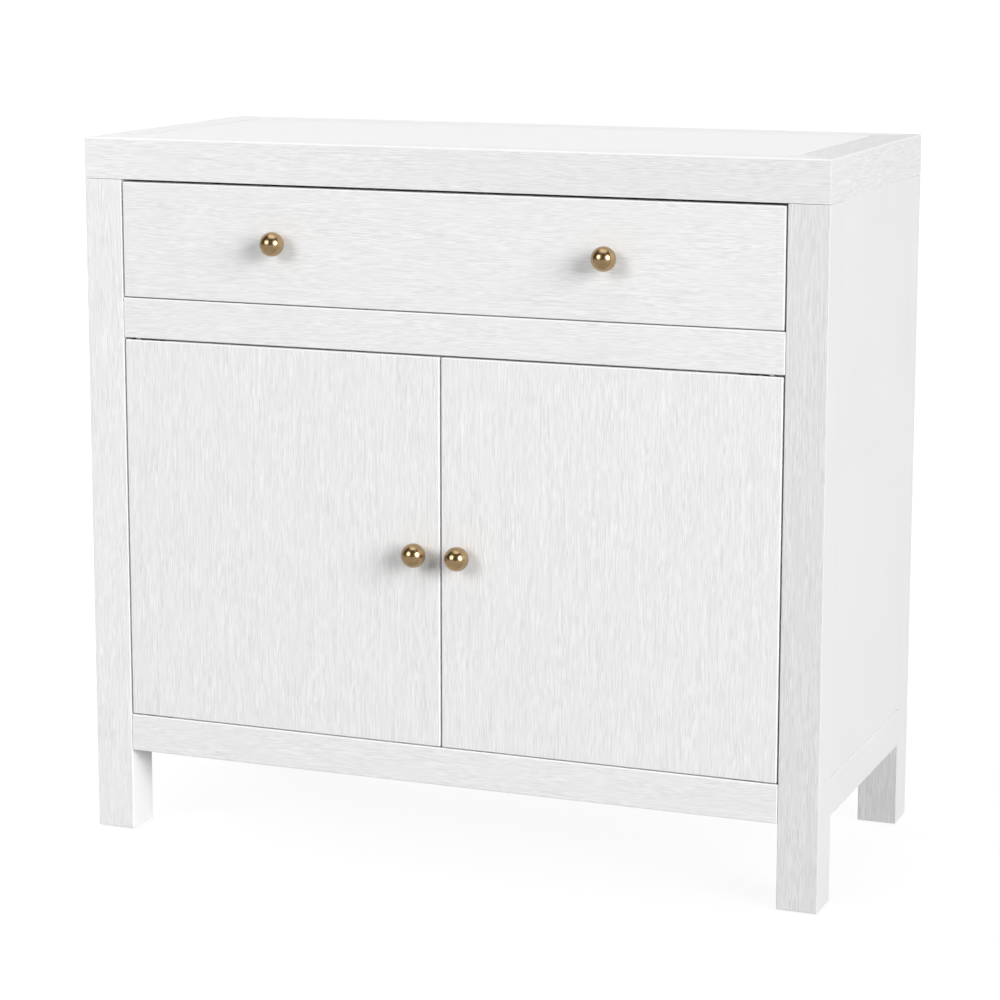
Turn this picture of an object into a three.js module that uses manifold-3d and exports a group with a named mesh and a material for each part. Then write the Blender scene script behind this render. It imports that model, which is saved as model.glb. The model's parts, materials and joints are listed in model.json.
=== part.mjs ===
// A painted wooden cabinet on four square legs: one wide drawer over two inset doors,
// all flush with the legs, ball knobs, and a thick framed top. Millimetres, +Z up.
// X runs along the width, the doors face -Y, and the origin is on the floor in the
// middle of the whole outline, knobs included.

import * as THREE from 'three';
import { mergeVertices } from 'three/addons/utils/BufferGeometryUtils.js';
import { RoundedBoxGeometry } from 'three/addons/geometries/RoundedBoxGeometry.js';
import Module from 'manifold-3d';

const wasm = await Module();
wasm.setup();

// ---- Driving dimensions ---------------------------------------------------------

const WIDTH = 864;
const DEPTH = 392;
const HEIGHT = 804;

const SLAB = 46;            // thickness of the framed top
const BORDER = 46;          // width of the border strips round the top panel
const TOP_PANEL = 18;       // thickness of the panel set into them
const LEG_X = 45;           // leg section along the width
const LEG_Y = 48;           // leg section along the depth
const SIDE_PANEL = 18;
const RAIL = 22;            // thickness of every rail
const FRONT_PANEL = 19;     // thickness of the drawer front and the doors
const BOARD = 18;           // cupboard floor
const BACK_PANEL = 6;
const BACK_INSET = 6;       // how far the back panel sits inside the back legs

const LEG_CLEAR = 96.5;     // floor to the bottom rail
const BOTTOM_RAIL = 42.9;
const DOOR_HEIGHT = 436.4;
const MIDDLE_RAIL = 45.4;
const DRAWER_HEIGHT = 129.4;
const REVEAL = 2;           // visible gap beside and above the doors, and beside the drawer
const LOWER_REVEAL = 1.2;   // under the doors and under the drawer, which both sit a little low
const SHADOW_GAP = 0.5;     // leg tops to the underside of the top
const TOUCH = 0.3;          // gap between pieces that rest on each other

const KNOB_BALL = 13.5;     // radius
const KNOB_REACH = 30;      // front face to the front of the ball
const DRAWER_KNOB_RISE = 3.7; // drawer knobs sit a little above the middle of the front
const DOOR_KNOB_INSET = 24.5;

const PIVOT_IN = 14;        // hinge pin from the door's outer edge
const PIVOT_BACK = 6.5;     // hinge pin from the door's front face
const LEAF_LENGTH = 45;
const LEAF_WIDTH = 8;
const LEAF = 2.5;           // thickness of a hinge leaf
const PIN_RADIUS = 2.5;

const SLIDE_SPACE = 13;     // room for one drawer slide
const SLIDE_LENGTH = 345;
const SLIDE_STEEL = 1.5;
const DRAWER_SIDE = 12;
const DRAWER_BOX_HEIGHT = 102;
const DRAWER_BOX_LENGTH = 340;
const DRAWER_BOTTOM = 5;
const GROOVE = { depth: 5, rise: 8 }; // for the drawer bottom, from the box's lower edge

const SHELF = 16;
const SHELF_PIN_RADIUS = 2.5;
const PIN_HOLE_STEP = 32;
const GLIDE = 2;            // height of the glides under the legs

const EDGE = 1.4;           // rounding of the visible edges
const ROUND = 12;           // sides of small holes, pins and screws

// ---- Places worked out from them -------------------------------------------------

const FRONT = -(DEPTH - KNOB_REACH) / 2;
const BACK = FRONT + DEPTH;
const HALF = WIDTH / 2;
const INNER = HALF - LEG_X;                 // half the opening between the front legs
const FRONT_HALF = INNER - REVEAL;          // half the drawer front's width
const SLAB_Z = HEIGHT - SLAB;
const RAIL_TOP_Z = LEG_CLEAR + BOTTOM_RAIL; // top of the bottom rails
const DOOR_Z = RAIL_TOP_Z + LOWER_REVEAL;
const DOOR_TOP_Z = DOOR_Z + DOOR_HEIGHT;
const MIDDLE_Z = DOOR_TOP_Z + REVEAL;       // underside of the rail over the doors
const DRAWER_Z = MIDDLE_Z + MIDDLE_RAIL + LOWER_REVEAL;
const DOOR_MIDDLE_Z = DOOR_Z + DOOR_HEIGHT / 2;
const DRAWER_MIDDLE_Z = DRAWER_Z + DRAWER_HEIGHT / 2;
const BACK_PANEL_Y = BACK - BACK_INSET - BACK_PANEL;
const PIVOT_X = FRONT_HALF - PIVOT_IN;
const PIVOT_Y = FRONT + PIVOT_BACK;
const BOX_HALF = INNER - SLIDE_SPACE;       // half the drawer box's outer width
const BOX_Y = FRONT + FRONT_PANEL + TOUCH;
const BOX_Z = DRAWER_MIDDLE_Z - DRAWER_BOX_HEIGHT / 2 - 4;
const SHELF_Z = DOOR_MIDDLE_Z - SHELF / 2;

const paint = () => new THREE.MeshStandardMaterial({ color: 0xf1f1f0, roughness: 0.55, metalness: 0 });
const birch = () => new THREE.MeshStandardMaterial({ color: 0xd9bf94, roughness: 0.6, metalness: 0 });
const brass = () => new THREE.MeshStandardMaterial({ color: 0x9a7a45, roughness: 0.3, metalness: 1 });
const steel = () => new THREE.MeshStandardMaterial({ color: 0xb9bcc0, roughness: 0.35, metalness: 1 });
const nylon = () => new THREE.MeshStandardMaterial({ color: 0xe4e2dc, roughness: 0.5, metalness: 0 });

const SIDES = { left: -1, right: 1 };

// ---- Geometry helpers ------------------------------------------------------------

/** A box between opposite corners, its edges rounded when a radius is given. */
function block([x0, x1], [y0, y1], [z0, z1], radius = 0) {
  const size = [Math.abs(x1 - x0), y1 - y0, z1 - z0];
  const geometry = radius > 0
    ? new RoundedBoxGeometry(...size, 1, radius)
    : new THREE.BoxGeometry(...size);
  return geometry.translate((x0 + x1) / 2, (y0 + y1) / 2, (z0 + z1) / 2);
}

/** A plain cylinder round the given axis, from one place on it to another. */
function rod(axis, [x, y, z], radius, from, to, sides = ROUND) {
  const geometry = new THREE.CylinderGeometry(radius, radius, to - from, sides);
  if (axis === 'x') geometry.rotateZ(-Math.PI / 2);
  if (axis === 'z') geometry.rotateX(Math.PI / 2);
  const place = { x, y, z };
  place[axis] = (from + to) / 2;
  return geometry.translate(place.x, place.y, place.z);
}

function outline(points) {
  return new THREE.Shape(points.map(([a, b]) => new THREE.Vector2(a, b)));
}

/** Extrudes a plan outline (x, y) upwards. */
function extrudeUp(shape, z0, z1) {
  const options = { depth: z1 - z0, bevelEnabled: false, curveSegments: 6 };
  return new THREE.ExtrudeGeometry(shape, options).translate(0, 0, z0);
}

/** Extrudes a section given as (z, x) along the depth. */
function extrudeBack(shape, y0, y1) {
  const geometry = new THREE.ExtrudeGeometry(shape, { depth: y1 - y0, bevelEnabled: false });
  const alongX = new THREE.Vector3(1, 0, 0);
  const alongY = new THREE.Vector3(0, 1, 0);
  const alongZ = new THREE.Vector3(0, 0, 1);
  geometry.applyMatrix4(new THREE.Matrix4().makeBasis(alongZ, alongX, alongY));
  return geometry.translate(0, y0, 0);
}

/** A turned piece whose profile is (radius, distance in front of a face), facing -Y. */
function turned(profile, sides = ROUND) {
  const points = profile.map(([r, s]) => new THREE.Vector2(r, s));
  return new THREE.LatheGeometry(points, sides).rotateX(Math.PI);
}

function toSolid(geometry) {
  const bare = new THREE.BufferGeometry();
  bare.setAttribute('position', geometry.getAttribute('position').clone());
  if (geometry.index) bare.setIndex(geometry.index.clone());
  const merged = mergeVertices(bare, 1e-3);
  return new wasm.Manifold(new wasm.Mesh({
    numProp: 3,
    vertProperties: new Float32Array(merged.getAttribute('position').array),
    triVerts: new Uint32Array(merged.index.array),
  }));
}

function fromSolid(solid) {
  const { vertProperties, triVerts } = solid.getMesh();
  const geometry = new THREE.BufferGeometry();
  geometry.setAttribute('position', new THREE.BufferAttribute(vertProperties, 3));
  geometry.setIndex(new THREE.BufferAttribute(triVerts, 1));
  const faceted = geometry.toNonIndexed();
  faceted.computeVertexNormals();
  return faceted;
}

function cut(geometry, tools) {
  return fromSolid(tools.reduce((solid, tool) => solid.subtract(toSolid(tool)), toSolid(geometry)));
}

function join(pieces) {
  return fromSolid(pieces.map(toSolid).reduce((whole, piece) => whole.add(piece)));
}

function named(name, geometry, material) {
  const mesh = new THREE.Mesh(geometry, material);
  mesh.name = name;
  return mesh;
}

function assembly(...meshes) {
  return new THREE.Group().add(...meshes.flat());
}

/** One piece on each side: the maker is given the side's name and its sign along X. */
function bothSides(make) {
  return Object.entries(SIDES).map(([side, sign]) => make(side, sign)).flat();
}

// ---- Top -------------------------------------------------------------------------

/** A border strip with mitred ends. It is made with its outer face at y = 0. */
function mitredStrip(length) {
  const ledge = BORDER + 10;
  const ledgeTop = SLAB - TOP_PANEL - TOUCH;
  const chamfer = 0.8;
  const section = outline([
    [EDGE, 0], [ledge, 0], [ledge, ledgeTop], [BORDER, ledgeTop], [BORDER, SLAB - chamfer],
    [BORDER - chamfer, SLAB], [EDGE, SLAB], [EDGE * 0.3, SLAB - EDGE * 0.3], [0, SLAB - EDGE],
    [0, EDGE], [EDGE * 0.3, EDGE * 0.3],
  ]);
  const geometry = new THREE.ExtrudeGeometry(section, { depth: 1, bevelEnabled: false });
  const position = geometry.getAttribute('position');
  for (let i = 0; i < position.count; i += 1) {
    const [inward, up, along] = [position.getX(i), position.getY(i), position.getZ(i)];
    const reach = length - 2 * inward - 2 * TOUCH;
    position.setXYZ(i, (along - 0.5) * reach, inward, up);
  }
  geometry.computeVertexNormals();
  return geometry;
}

function makeTop() {
  const middleY = (FRONT + BACK) / 2;
  const strips = [
    ['front', WIDTH, 0, 0, FRONT],
    ['right', DEPTH, 1, HALF, middleY],
    ['back', WIDTH, 2, 0, BACK],
    ['left', DEPTH, 3, -HALF, middleY],
  ].map(([place, length, quarterTurns, x, y]) => {
    const strip = mitredStrip(length).rotateZ(quarterTurns * Math.PI / 2).translate(x, y, SLAB_Z);
    return named(`top_border_${place}`, strip, paint());
  });
  const inset = BORDER + TOUCH;
  const panel = block(
    [-HALF + inset, HALF - inset],
    [FRONT + inset, BACK - inset],
    [HEIGHT - TOP_PANEL, HEIGHT],
    0.8,
  );
  return [named('top_panel', panel, paint()), ...strips];
}

// ---- Legs, panels and rails ------------------------------------------------------

/** A leg with a blind hole in its foot for the glide's stem, and the glide itself. */
function makeLeg(side, sign, place) {
  const y = place === 'front' ? [FRONT, FRONT + LEG_Y] : [BACK - LEG_Y, BACK];
  const middle = [sign * (HALF - LEG_X / 2), (y[0] + y[1]) / 2, 0];
  const post = block([sign * INNER, sign * HALF], y, [GLIDE, SLAB_Z - SHADOW_GAP], EDGE);
  const stem = { radius: 2.5, height: 14, room: 0.4 };
  const hole = rod('z', middle, stem.radius + stem.room, GLIDE - 1, stem.height + stem.room);
  const profile = [
    [0, 0], [9, 0], [11, GLIDE / 2], [11, GLIDE - TOUCH], [stem.radius, GLIDE - TOUCH],
    [stem.radius, stem.height], [0, stem.height],
  ].map(([r, z]) => new THREE.Vector2(r, z));
  const glide = new THREE.LatheGeometry(profile, 16).rotateX(Math.PI / 2).translate(...middle);
  return [
    named(`leg_${place}_${side}`, cut(post, [hole]), paint()),
    named(`glide_${place}_${side}`, glide, nylon()),
  ];
}

/** Where the shelf pins stand, front and back, between the legs. */
const PIN_Y = [FRONT + LEG_Y + 36, BACK - LEG_Y - 36];
const PIN_Z = SHELF_Z - TOUCH - SHELF_PIN_RADIUS;

function makeSidePanel(side, sign) {
  const inner = HALF - SIDE_PANEL;
  const y = [FRONT + LEG_Y + TOUCH, BACK - LEG_Y - TOUCH];
  const panel = block([sign * inner, sign * HALF], y, [RAIL_TOP_Z + TOUCH, SLAB_Z - TOUCH], 1);
  const holes = PIN_Y.flatMap((pinY) => [-2, -1, 0, 1, 2].map((step) => {
    const ends = [sign * (inner - 1), sign * (inner + 9)].sort((a, b) => a - b);
    return rod('x', [0, pinY, PIN_Z + step * PIN_HOLE_STEP], SHELF_PIN_RADIUS + TOUCH, ...ends, 8);
  }));
  const rail = block([sign * (HALF - RAIL), sign * HALF], y, [LEG_CLEAR, RAIL_TOP_Z], 1);
  return [
    named(`side_panel_${side}`, cut(panel, holes), paint()),
    named(`side_rail_${side}`, rail, paint()),
  ];
}

/** The shallow pocket that a hinge leaf lies in, open towards the gap. */
function leafPocket(sign, [z0, z1]) {
  const outer = FRONT_HALF - 4 + TOUCH;
  const half = LEAF_WIDTH / 2 + TOUCH;
  return block(
    [sign * (outer - LEAF_LENGTH - 2 * TOUCH), sign * outer],
    [PIVOT_Y - half, PIVOT_Y + half],
    [z0, z1],
  );
}

function makeFrontRails() {
  const x = [-INNER + TOUCH, INNER - TOUCH];
  const y = [FRONT, FRONT + RAIL];
  const deep = LEAF + TOUCH;
  const middle = block(x, y, [MIDDLE_Z, MIDDLE_Z + MIDDLE_RAIL], EDGE);
  const bottom = block(x, y, [LEG_CLEAR, RAIL_TOP_Z], EDGE);
  const upper = bothSides((side, sign) => leafPocket(sign, [MIDDLE_Z - 1, MIDDLE_Z + deep]));
  const lower = bothSides((side, sign) => leafPocket(sign, [RAIL_TOP_Z - deep, RAIL_TOP_Z + 1]));
  return [
    named('middle_rail', cut(middle, upper), paint()),
    named('bottom_rail', cut(bottom, lower), paint()),
  ];
}

/** A flat board whose corners are cut away round the legs. */
function notchedBoard(half, [y0, y1], z, room) {
  const inner = INNER - room;
  const front = Math.max(y0, FRONT + LEG_Y + room);
  const back = BACK - LEG_Y - room;
  const right = [[inner, y0], [inner, front], [half, front], [half, back], [inner, back], [inner, y1]];
  const left = right.map(([x, y]) => [-x, y]).reverse();
  return extrudeUp(outline([...right, ...left]), ...z);
}

function makeInside() {
  const behind = BACK - BACK_INSET;
  const floorY = [FRONT + RAIL + TOUCH, behind - RAIL - TOUCH];
  const deckY = [FRONT + RAIL + TOUCH, BACK_PANEL_Y - TOUCH];
  const shelfY = [FRONT + 40, BACK_PANEL_Y - 3];
  const deckZ = MIDDLE_Z + MIDDLE_RAIL - 16;
  const acrossBack = [-INNER + TOUCH, INNER - TOUCH];
  const floor = notchedBoard(HALF - RAIL - TOUCH, floorY, [RAIL_TOP_Z - BOARD, RAIL_TOP_Z], TOUCH);
  const deck = notchedBoard(HALF - SIDE_PANEL - TOUCH, deckY, [deckZ, deckZ + 12], TOUCH);
  const shelf = notchedBoard(HALF - SIDE_PANEL - 1.5, shelfY, [SHELF_Z, SHELF_Z + SHELF], 2);
  const rail = block(acrossBack, [behind - RAIL, behind], [LEG_CLEAR, RAIL_TOP_Z], 1);
  const panel = block(acrossBack, [BACK_PANEL_Y, behind], [RAIL_TOP_Z + TOUCH, SLAB_Z - TOUCH]);
  return [
    named('cupboard_floor', floor, paint()),
    named('drawer_deck', deck, paint()),
    named('shelf', shelf, paint()),
    named('back_rail', rail, paint()),
    named('back_panel', panel, paint()),
  ];
}

function makeShelfPins(side, sign) {
  const inner = HALF - SIDE_PANEL;
  return PIN_Y.map((y, i) => {
    const ends = [sign * (inner - 11), sign * (inner + 8)].sort((a, b) => a - b);
    const pin = rod('x', [0, y, PIN_Z], SHELF_PIN_RADIUS, ...ends, 8);
    return named(`shelf_pin_${i === 0 ? 'front' : 'back'}_${side}`, pin, steel());
  });
}

// ---- Hinges ----------------------------------------------------------------------

/** The flat outline of a hinge leaf with round ends, its pin hole cut when asked for. */
function leafShape(sign, withHole) {
  const r = LEAF_WIDTH / 2;
  const outer = sign * (FRONT_HALF - 4 - r);
  const inner = sign * (FRONT_HALF - 4 - LEAF_LENGTH + r);
  const [low, high] = [Math.min(outer, inner), Math.max(outer, inner)];
  const shape = new THREE.Shape();
  shape.moveTo(low, PIVOT_Y - r);
  shape.lineTo(high, PIVOT_Y - r);
  shape.absarc(high, PIVOT_Y, r, -Math.PI / 2, Math.PI / 2);
  shape.lineTo(low, PIVOT_Y + r);
  shape.absarc(low, PIVOT_Y, r, Math.PI / 2, Math.PI * 1.5);
  if (withHole) {
    const hole = new THREE.Path();
    hole.absarc(sign * PIVOT_X, PIVOT_Y, PIN_RADIUS + 0.4, 0, Math.PI * 2, true);
    shape.holes.push(hole);
  }
  return shape;
}

/** The leaf with the pin hole, let into a rail. end is 1 over the door and -1 under it. */
function makeRailLeaf(side, sign, end) {
  const z = end > 0 ? [MIDDLE_Z, MIDDLE_Z + LEAF] : [RAIL_TOP_Z - LEAF, RAIL_TOP_Z];
  const leaf = extrudeUp(leafShape(sign, true), ...z);
  return named(`hinge_rail_leaf_${end > 0 ? 'top' : 'bottom'}_${side}`, leaf, steel());
}

/** The leaf with the pin and its washer, let into the door's edge. */
function makeDoorLeaf(side, sign, end) {
  const [edge, gap] = end > 0 ? [DOOR_TOP_Z, REVEAL] : [DOOR_Z, LOWER_REVEAL];
  const span = (a, b) => [edge + end * a, edge + end * b].sort((p, q) => p - q);
  const at = [sign * PIVOT_X, PIVOT_Y, 0];
  const leaf = join([
    extrudeUp(leafShape(sign, false), ...span(-LEAF, 0)),
    rod('z', at, PIN_RADIUS + 1.4, ...span(-0.5, gap - TOUCH)),
    rod('z', at, PIN_RADIUS, ...span(-0.5, gap + LEAF - TOUCH)),
  ]);
  return named(`hinge_door_leaf_${end > 0 ? 'top' : 'bottom'}_${side}`, leaf, steel());
}

// ---- Knobs -----------------------------------------------------------------------

const BORE = { radius: 2.3, depth: 10 };

/** A ball on a short neck and a small foot, with a blind bore for its screw. */
function knobAt(name, x, z) {
  const neck = 5;
  const centre = KNOB_REACH - KNOB_BALL;
  const start = Math.asin(neck / KNOB_BALL);
  const arc = Array.from({ length: 10 }, (_, i) => {
    const angle = start + (Math.PI - start) * i / 9;
    return [KNOB_BALL * Math.sin(angle), centre - KNOB_BALL * Math.cos(angle)];
  });
  arc[9][0] = 0;
  const profile = [
    [0, BORE.depth], [BORE.radius, BORE.depth], [BORE.radius, TOUCH],
    [7, TOUCH], [7.5, 1], [7, 1.8], [neck, 2.2], ...arc,
  ];
  return named(name, turned(profile, 18).translate(x, FRONT, z), brass());
}

/** The screw that holds a knob, its head behind a front of the given thickness. */
function knobScrewAt(name, x, z, thickness) {
  const head = { radius: 4.2, height: 2.2 };
  const under = -thickness - TOUCH;
  const profile = [
    [0, under - head.height], [head.radius - 0.6, under - head.height], [head.radius, under - 1],
    [head.radius, under], [2, under], [2, BORE.depth - 2], [0, BORE.depth - 2],
  ];
  return named(name, turned(profile).translate(x, FRONT, z), steel());
}

const screwHole = (x, z, y) => rod('y', [x, 0, z], 2.6, ...y);

// ---- Drawer ----------------------------------------------------------------------

const DRAWER_KNOB_X = FRONT_HALF / 2;
const DRAWER_KNOB_Z = DRAWER_MIDDLE_Z + DRAWER_KNOB_RISE;

/** A box side with the groove that the bottom slides into. */
function drawerSide(sign) {
  const outer = sign * BOX_HALF;
  const inner = sign * (BOX_HALF - DRAWER_SIDE);
  const groove = sign * (BOX_HALF - DRAWER_SIDE + GROOVE.depth);
  const low = BOX_Z + GROOVE.rise;
  const high = low + DRAWER_BOTTOM + 2 * TOUCH;
  const section = [
    [BOX_Z, outer], [BOX_Z + DRAWER_BOX_HEIGHT, outer], [BOX_Z + DRAWER_BOX_HEIGHT, inner],
    [high, inner], [high, groove], [low, groove], [low, inner], [BOX_Z, inner],
  ];
  return extrudeBack(outline(section), BOX_Y, BOX_Y + DRAWER_BOX_LENGTH);
}

/** A channel section of thin steel, its web on the outer or inner side of the gap. */
function channel(web, lips, height, y) {
  const inside = web + Math.sign(lips - web) * SLIDE_STEEL;
  const top = DRAWER_MIDDLE_Z + height / 2;
  const bottom = DRAWER_MIDDLE_Z - height / 2;
  const section = [
    [bottom, web], [top, web], [top, lips], [top - SLIDE_STEEL, lips],
    [top - SLIDE_STEEL, inside], [bottom + SLIDE_STEEL, inside],
    [bottom + SLIDE_STEEL, lips], [bottom, lips],
  ];
  return extrudeBack(outline(section), ...y);
}

function makeSlideRail(side, sign) {
  const y = [FRONT + FRONT_PANEL + 3, FRONT + FRONT_PANEL + 3 + SLIDE_LENGTH];
  const rail = channel(sign * (INNER - TOUCH), sign * (BOX_HALF + 3), 42, y);
  return named(`slide_rail_${side}`, rail, steel());
}

function makeSlideRunner(side, sign) {
  const y = [FRONT + FRONT_PANEL + 2, FRONT + FRONT_PANEL + 2 + SLIDE_LENGTH - 10];
  const runner = channel(sign * (BOX_HALF + TOUCH), sign * (BOX_HALF + 8), 34, y);
  return named(`slide_runner_${side}`, runner, steel());
}

function makeDrawer() {
  const z = [BOX_Z, BOX_Z + DRAWER_BOX_HEIGHT];
  const between = BOX_HALF - DRAWER_SIDE - TOUCH;
  const frontY = [FRONT, FRONT + FRONT_PANEL];
  const innerY = [BOX_Y, BOX_Y + DRAWER_SIDE];
  const backY = [BOX_Y + DRAWER_BOX_LENGTH - DRAWER_SIDE, BOX_Y + DRAWER_BOX_LENGTH];
  const bottomHalf = BOX_HALF - DRAWER_SIDE + GROOVE.depth - TOUCH;
  const bottomZ = BOX_Z + GROOVE.rise + TOUCH;
  const through = [FRONT - 1, innerY[1] + 1];
  const holes = bothSides((side, sign) => screwHole(sign * DRAWER_KNOB_X, DRAWER_KNOB_Z, through));
  const face = block([-FRONT_HALF, FRONT_HALF], frontY, [DRAWER_Z, DRAWER_Z + DRAWER_HEIGHT], EDGE);
  const thickness = innerY[1] - FRONT;
  return assembly(
    named('drawer_front', cut(face, holes), paint()),
    named('drawer_inner_front', cut(block([-between, between], innerY, z), holes), birch()),
    named('drawer_back', block([-between, between], backY, z), birch()),
    named('drawer_bottom', block(
      [-bottomHalf, bottomHalf],
      [innerY[1] + TOUCH, backY[0] - TOUCH],
      [bottomZ, bottomZ + DRAWER_BOTTOM],
    ), birch()),
    bothSides((side, sign) => [
      named(`drawer_side_${side}`, drawerSide(sign), birch()),
      makeSlideRunner(side, sign),
      knobAt(`drawer_knob_${side}`, sign * DRAWER_KNOB_X, DRAWER_KNOB_Z),
      knobScrewAt(`drawer_knob_screw_${side}`, sign * DRAWER_KNOB_X, DRAWER_KNOB_Z, thickness),
    ]),
  );
}

// ---- Doors -----------------------------------------------------------------------

const CATCH_Z = DOOR_TOP_Z - 9;

function makeDoor(side, sign) {
  const y = [FRONT, FRONT + FRONT_PANEL];
  const meeting = REVEAL / 2;
  const knobX = sign * (meeting + DOOR_KNOB_INSET);
  const deep = LEAF + TOUCH;
  const slab = block([sign * meeting, sign * FRONT_HALF], y, [DOOR_Z, DOOR_TOP_Z], EDGE);
  const panel = cut(slab, [
    leafPocket(sign, [DOOR_TOP_Z - deep, DOOR_TOP_Z + 1]),
    leafPocket(sign, [DOOR_Z - 1, DOOR_Z + deep]),
    screwHole(knobX, DOOR_MIDDLE_Z, [y[0] - 1, y[1] + 1]),
  ]);
  const plateY = y[1] + TOUCH;
  const plate = block([sign * 8, sign * 28], [plateY, plateY + 2], [CATCH_Z - 6, CATCH_Z + 6], 0.6);
  return assembly(
    named(`door_${side}`, panel, paint()),
    knobAt(`door_knob_${side}`, knobX, DOOR_MIDDLE_Z),
    knobScrewAt(`door_knob_screw_${side}`, knobX, DOOR_MIDDLE_Z, FRONT_PANEL),
    makeDoorLeaf(side, sign, 1),
    makeDoorLeaf(side, sign, -1),
    named(`strike_plate_${side}`, plate, steel()),
  );
}

/** One magnetic catch for both doors, on the back of the rail above them. */
function makeCatch() {
  const y = [FRONT + RAIL + TOUCH, FRONT + RAIL + 14];
  const housing = block([-32, 32], y, [CATCH_Z - 8, MIDDLE_Z + 24], 1.5);
  return named('door_catch', housing, nylon());
}

// ---- The whole cabinet -----------------------------------------------------------

const carcass = assembly(
  makeTop(),
  bothSides((side, sign) => [...makeLeg(side, sign, 'front'), ...makeLeg(side, sign, 'back')]),
  bothSides(makeSidePanel),
  makeFrontRails(),
  makeInside(),
  bothSides(makeShelfPins),
  bothSides((side, sign) => [makeRailLeaf(side, sign, 1), makeRailLeaf(side, sign, -1)]),
  bothSides(makeSlideRail),
  makeCatch(),
);

export default new THREE.Group().add(
  carcass,
  makeDrawer(),
  makeDoor('left', SIDES.left),
  makeDoor('right', SIDES.right),
);
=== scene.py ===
"""Looks for the white two-door cabinet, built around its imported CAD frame. Metres, +Z up."""

import json
import math

import bmesh
import bpy
from mathutils import Matrix, Vector


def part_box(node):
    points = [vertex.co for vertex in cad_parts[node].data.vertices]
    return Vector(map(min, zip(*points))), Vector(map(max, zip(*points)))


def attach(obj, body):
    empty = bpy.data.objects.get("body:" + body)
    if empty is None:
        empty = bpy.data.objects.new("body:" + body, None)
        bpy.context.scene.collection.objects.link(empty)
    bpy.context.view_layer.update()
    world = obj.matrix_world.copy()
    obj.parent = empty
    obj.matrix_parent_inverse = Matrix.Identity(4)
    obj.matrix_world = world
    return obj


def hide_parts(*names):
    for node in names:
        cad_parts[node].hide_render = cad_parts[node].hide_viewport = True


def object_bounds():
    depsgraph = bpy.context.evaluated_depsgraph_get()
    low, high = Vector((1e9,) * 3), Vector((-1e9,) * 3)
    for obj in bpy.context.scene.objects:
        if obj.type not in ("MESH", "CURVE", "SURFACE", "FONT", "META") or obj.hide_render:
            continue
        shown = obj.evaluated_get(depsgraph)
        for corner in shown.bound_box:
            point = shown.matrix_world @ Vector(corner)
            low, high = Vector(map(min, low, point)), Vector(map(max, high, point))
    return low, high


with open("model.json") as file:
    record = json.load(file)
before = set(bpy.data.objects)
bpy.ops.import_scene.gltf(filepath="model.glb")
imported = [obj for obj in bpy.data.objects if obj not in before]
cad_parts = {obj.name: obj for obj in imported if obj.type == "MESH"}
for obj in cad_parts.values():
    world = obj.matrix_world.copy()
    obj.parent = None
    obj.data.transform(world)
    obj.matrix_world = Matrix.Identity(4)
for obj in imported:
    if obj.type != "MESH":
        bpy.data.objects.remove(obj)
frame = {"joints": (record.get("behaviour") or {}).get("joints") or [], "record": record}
CAD_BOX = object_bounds()

MM = 0.001
EDGE = 1.4 * MM        # rounding of the painted edges
LEG_EDGE = 1.0 * MM    # the legs' corners are a little crisper
FINE_EDGE = 0.6 * MM   # rounding inside the cabinet
TOUCH = 0.3 * MM       # clearance between touching pieces
SMOOTH_ANGLE = math.radians(38)
SHARP_EDGE = math.radians(30)
KNOB_HOLE = 2.6 * MM   # radius, for the knob's screw
PIN_HOLE = 2.9 * MM    # radius, for hinge pins and the glides' stems
LEAF_EDGE = 0.25 * MM
SLIDE_STEEL = 1.5 * MM
DRILL_SIDES = 32
SIDES = ("left", "right")
ENDS = ("top", "bottom")

BODY_OF = {
    node: body
    for body, nodes in frame["record"]["behaviour"]["bodies"].items()
    for node in nodes
}


# ---- Camera, light and floor -------------------------------------------------------

CAMERA = {
    "place": (1.217, -3.118, 1.046),
    "turn": 21.667,    # degrees, from looking along +Y towards -X
    "tilt": 9.794,     # degrees down
    "lens": 106.72,
    "shift": (0.017, -0.07),
}


def make_camera():
    data = bpy.data.cameras.new("camera")
    data.sensor_width = 36
    data.lens = CAMERA["lens"]
    data.shift_x, data.shift_y = CAMERA["shift"]
    camera = bpy.data.objects.new("camera", data)
    camera.location = CAMERA["place"]
    tilt = math.radians(90 - CAMERA["tilt"])
    camera.rotation_euler = (tilt, 0, math.radians(CAMERA["turn"]))
    bpy.context.scene.collection.objects.link(camera)
    bpy.context.scene.camera = camera


def soft_box(name, azimuth, elevation, distance, spread, card):
    """A round soft light aimed at the cabinet. Azimuth 0 is straight in front, spread is its angular
    size, and card is how bright it makes a white card that faces it."""
    data = bpy.data.lights.new(name, "AREA")
    data.shape = "DISK"
    data.size = 2 * distance * math.tan(math.radians(spread) / 2)
    data.energy = card * math.pi ** 2 * distance ** 2
    light = bpy.data.objects.new(name, data)
    turn, rise = math.radians(azimuth), math.radians(elevation)
    away = Vector((
        math.sin(turn) * math.cos(rise),
        -math.cos(turn) * math.cos(rise),
        math.sin(rise),
    ))
    middle = Vector((0, 0, CAD_BOX[1][2] / 2))
    light.location = middle + away * distance
    light.rotation_euler = away.to_track_quat("Z", "Y").to_euler()
    light.visible_camera = False
    bpy.context.scene.collection.objects.link(light)
    return light


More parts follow.
